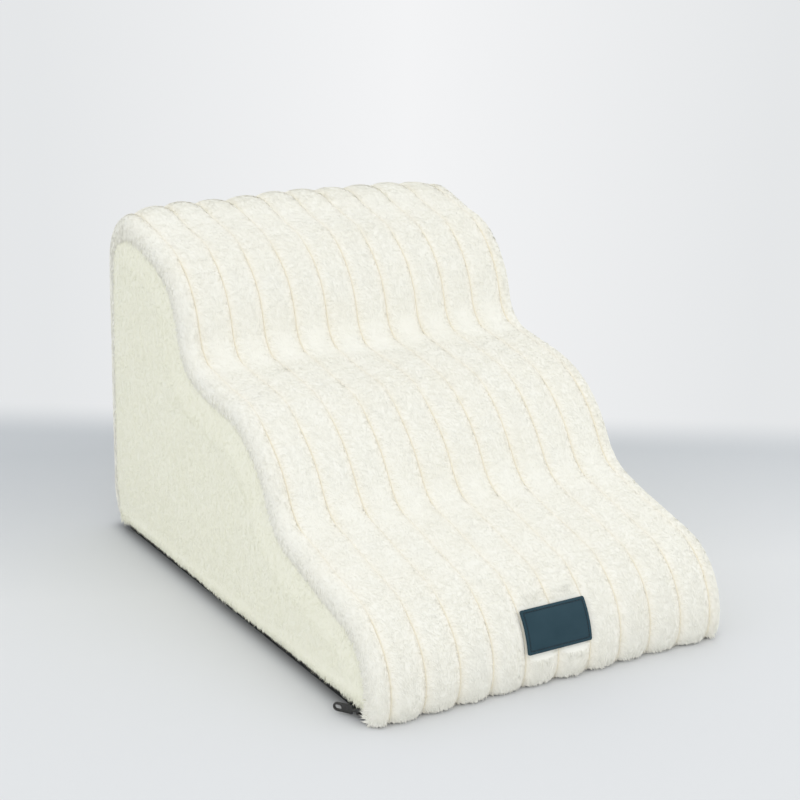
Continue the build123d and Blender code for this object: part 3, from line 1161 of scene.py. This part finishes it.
# %% Slider, pull tab and stops
def enamel():
    """Die-cast metal under black enamel, rubbed paler in places."""
    paint = Paint("zip_metal", {"Coat Weight": 0.25, "Coat Roughness": 0.25})
    rubbed = (paint.noise(420.0) * 3.0 - 1.5).clipped()
    paint.colour(paint.mix(rubbed, (0.018, 0.018, 0.017), (0.060, 0.058, 0.054)))
    paint.rough(0.30 + rubbed * 0.2)
    paint.bump(paint.noise(900.0), 0.00008)
    return paint.material


def rounded_copy(node, name, width, finish, body):
    """A copy of a hard CAD node with its edges rounded."""
    piece = copy_of(node, name)
    on_all(piece, bpy.ops.mesh.dissolve_limited, angle_limit=math.radians(2))
    apply(
        piece, "BEVEL", width=width, segments=2, limit_method="ANGLE",
        angle_limit=math.radians(35),
    )
    bpy.ops.object.shade_smooth_by_angle(angle=math.radians(35))
    fit(piece, finish, [node], body)


black_enamel = enamel()
rounded_copy("zip_slider_body", "slider_shell", 0.00022, black_enamel, "slider")
rounded_copy("zip_pull_tab", "slider_pull_tab", 0.00018, black_enamel, "pull_tab")
rounded_copy("zip_top_stops", "upper_stops", 0.00025, black_enamel, "stairs")
rounded_copy("zip_bottom_stop", "lower_stop", 0.00025, black_enamel, "stairs")

# %% [markdown]
# ## The patch
# A moulded patch of soft rubber, sewn on through a groove near its edge. Its middle
# is bare. Moulded rubber is matt, with a fine grain from the mould, and its colour
# changes slowly from place to place. The patch and its stitches keep the CAD's
# shape; only the patch's edges are rounded.

# %% Patch and its stitches
def rubber():
    paint = Paint("label_rubber", {"Specular IOR Level": 0.2})
    grain = paint.noise(2600.0, 3.0)
    slow = paint.noise(45.0)
    share = (slow * 1.4 - 0.4 + grain * 0.4).clipped()
    paint.colour(paint.mix(share, (0.0185, 0.0500, 0.0680), (0.0285, 0.0660, 0.0870)))
    paint.rough(0.50 + grain * 0.25)
    paint.bump(grain, 0.0001)
    return paint.material


def thread():
    """Twisted polyester: fine slanting strands."""
    paint = Paint("label_thread", {"Sheen Weight": 0.15})
    twist = paint.pattern("ShaderNodeTexWave", 900.0, "Fac", bands_direction="DIAGONAL")
    paint.colour(paint.mix(twist, (0.006, 0.015, 0.024), (0.016, 0.030, 0.044)))
    paint.rough(0.6 + twist * 0.15)
    paint.bump(twist, 0.00008)
    return paint.material


rounded_copy("label_patch", "rubber_patch", 0.0003, rubber(), "stairs")
stitches = nodes["label_stitching"]
stitches.data.materials.clear()
stitches.data.materials.append(thread())
print("stitches:", len(stitches.data.polygons), "faces")

# %% [markdown]
# ## Under the stairs
# The bottom is a dark non-slip cloth, stretched flat under the foam: a tight weave
# with small rubber dots on it that touch the floor.

# %% Bottom cloth
weave_per_metre = 5200.0
cloth_grid = (49, 61)
cloth_height = 0.00085
cloth_thickness = 0.0006
dot_rings = ((0.0016, 0.00058), (0.0011, 0.00012))
dot_tip = 0.00002
dot_pitch = 0.0095
row_share = 0.866
dot_border = 0.012
right_border = 0.01


def grip_cloth():
    paint = Paint("grip_cloth", {"Specular IOR Level": 0.3})
    x, y, _ = paint.axes()
    warp = (x * weave_per_metre).math("SINE")
    weft = (y * weave_per_metre).math("SINE")
    weave = warp * weft * 0.5 + 0.5
    dust = paint.noise(30.0)
    share = (weave * 0.5 + dust * 0.5).clipped()
    paint.colour(paint.mix(share, (0.030, 0.032, 0.034), (0.075, 0.078, 0.082)))
    paint.rough(0.75 + dust * 0.15)
    paint.bump(weave, 0.0002)
    return paint.material


def make_cloth(low, high, finish):
    cloth, column, row = grid_on("grip_cloth_bottom", *cloth_grid)
    across = np.linspace(low.x, high.x, cloth_grid[0])
    y = np.linspace(low.y, high.y, cloth_grid[1])[row]
    past = np.maximum(y - (high.y - zip_corner), 0)
    narrow = zip_corner - np.sqrt(np.maximum(zip_corner**2 - past**2, 0))
    x = across[column] * (1 - narrow / high.x)
    move_to(cloth.data, np.column_stack([x, y, np.full(len(x), cloth_height)]))
    apply(cloth, "SOLIDIFY", thickness=cloth_thickness, offset=0.0)
    fit(cloth, finish, ["grip_bottom_panel"])


def make_dots(low, high, finish):
    """Rubber dots in staggered rows, each a low six-sided dome that points down."""
    turns = np.linspace(0, 2 * math.pi, 7)[:-1]
    ring = np.column_stack([np.cos(turns), np.sin(turns)])
    one = [(*way * radius, height) for radius, height in dot_rings for way in ring]
    one = np.array([*one, (0, 0, dot_tip)])
    faces = [(i, 6 + i, 6 + (i + 1) % 6) for i in range(6)]
    faces += [(i, 6 + (i + 1) % 6, (i + 1) % 6) for i in range(6)]
    faces += [(6 + i, 12, 6 + (i + 1) % 6) for i in range(6)]
    rows = np.arange(low.y + dot_border, high.y - dot_border, dot_pitch * row_share)
    spots = []
    for i, y in enumerate(rows):
        first = low.x + dot_border + dot_pitch / 2 * (i % 2)
        spots += [(x, y, 0.0) for x in np.arange(first, high.x - right_border, dot_pitch)]
    spots = np.array(spots)
    dots = repeat("grip_dots", spots[:, None] + one, faces, True)
    fit(dots, finish)


bottom_low, bottom_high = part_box("grip_bottom_panel")
grip = grip_cloth()
make_cloth(bottom_low, bottom_high, grip)
make_dots(bottom_low, bottom_high, grip)

# %% [markdown]
# ## Floor, light and camera
# A pale floor and soft light from all round, as in a product photograph. A large
# key lamp stands to the right and above, and two weaker ones in front and on the
# left fill its shadows. Such soft light leaves the floor too pale where the stairs
# stand, so a contact shadow is painted into the floor's colour round their foot.
# The floor also has a darker band painted across it, and a pool of brighter light
# is painted in the middle of the backdrop. The camera stands where the photo was
# taken from, worked out from the evenly spaced seams.

# %% Floor and backdrop
eye = Vector((-0.9599, -1.5186, 0.7746))
heading = math.radians(32.24)
forward_flat = Vector((math.sin(heading), math.cos(heading), 0))
contact_half = Vector((0.190, 0.262))
contact_reach = 0.026
contact_shade = (0.075, 0.078, 0.080)
contact_share = 0.66
near_end = 0.43
near_slant = 0.2
near_run = 0.45
glow_behind = 1.8
glow_narrow = 5.0
wall_from = 0.41
wall_run = 0.15


def make_floor():
    bpy.ops.object.select_all(action="DESELECT")
    bpy.ops.mesh.primitive_grid_add(x_subdivisions=40, y_subdivisions=40, size=60.0)
    floor = bpy.context.object
    floor.name = "floor"
    paint = Paint("floor", {"Specular IOR Level": 0.0, "Roughness": 1.0})
    x, y, _ = paint.axes()
    beyond = x * forward_flat.x + y * forward_flat.y
    sideways = x * forward_flat.y - y * forward_flat.x
    near = (0.765, 0.775, 0.784)
    band = (0.570, 0.592, 0.612)
    wall = (0.785, 0.800, 0.812)
    glow = (0.900, 0.905, 0.915)
    share = ((near_end - beyond + sideways * near_slant) / near_run).clipped()
    lit = paint.mix(share, band, near)
    # A contact shadow is painted into the floor's colour round the stairs' foot.
    past_x = (x.size() - contact_half.x).math("MAXIMUM")
    past_y = (y.size() - contact_half.y).math("MAXIMUM")
    off = (past_x * past_x + past_y * past_y).math("SQRT")
    close = (1 - off / contact_reach).clipped()
    lit = paint.mix(close * close * contact_share, lit, contact_shade)
    # A pool of brighter light is painted on the backdrop, narrowing straight ahead of the
    # camera.
    spread = sideways.size() / (beyond + glow_behind)
    far = paint.mix((1 - spread * glow_narrow).clipped(), wall, glow)
    rise = ((beyond - wall_from) / wall_run).clipped()
    past_line = rise * rise * (3 - 2 * rise)
    floor_colour = paint.mix(past_line, lit, far)
    paint.colour(floor_colour)
    backdrop = paint.node("ShaderNodeEmission", None, {"Color": floor_colour})
    rays = paint.node("ShaderNodeLightPath")
    seen = (rays.out("Is Camera Ray") + rays.out("Is Glossy Ray")).clipped() * past_line
    end = paint.tree.nodes["Material Output"]
    show_mix(paint.tree, seen.socket, paint.shader.outputs[0], backdrop.socket, end)
    floor.data.materials.append(paint.material)


make_floor()


# %% Light
def lamp(name, place, target, size, power):
    data = bpy.data.lights.new(name, "AREA")
    data.size = size
    data.energy = power
    light = added(name, data)
    light.location = place
    way = Vector(target) - Vector(place)
    light.rotation_euler = way.to_track_quat("-Z", "Y").to_euler()


lamp("key", (1.5, -1.7, 2.9), (0, 0, 0.1), 2.4, 9)
lamp("front", (-0.4, -3.0, 1.5), (0, 0, 0.15), 2.4, 5)
lamp("left", (-2.6, -0.4, 1.5), (0, 0, 0.15), 2.0, 3.5)


def make_world():
    world = bpy.data.worlds.new("studio")
    bpy.context.scene.world = world
    world.use_nodes = True
    tree = world.node_tree
    soft = tree.nodes["Background"]
    soft.inputs["Color"].default_value = (0.97, 0.985, 1.0, 1)
    soft.inputs["Strength"].default_value = 0.955
    pale = tree.nodes.new("ShaderNodeBackground")
    pale.inputs["Color"].default_value = (0.86, 0.87, 0.885, 1)
    rays = tree.nodes.new("ShaderNodeLightPath")
    seen = rays.outputs["Is Camera Ray"]
    end = tree.nodes["World Output"]
    show_mix(tree, seen, soft.outputs[0], pale.outputs[0], end)


make_world()
bpy.context.scene.view_settings.view_transform = "Standard"


# %% Camera
def make_camera():
    pitch, roll = math.radians(17.91), math.radians(1.48)
    forward = forward_flat * math.cos(pitch) + Vector((0, 0, -math.sin(pitch)))
    right = Vector((math.cos(heading), -math.sin(heading), 0))
    up = right.cross(forward)
    turned_right = right * math.cos(roll) + up * math.sin(roll)
    turned_up = up * math.cos(roll) - right * math.sin(roll)
    data = bpy.data.cameras.new("photo_side")
    data.lens = 83.25
    data.sensor_width = 36.0
    camera = added("photo_side", data)
    turned = Matrix((turned_right, turned_up, -forward)).transposed().to_4x4()
    camera.matrix_world = Matrix.Translation(eye) @ turned
    bpy.context.scene.camera = camera


make_camera()
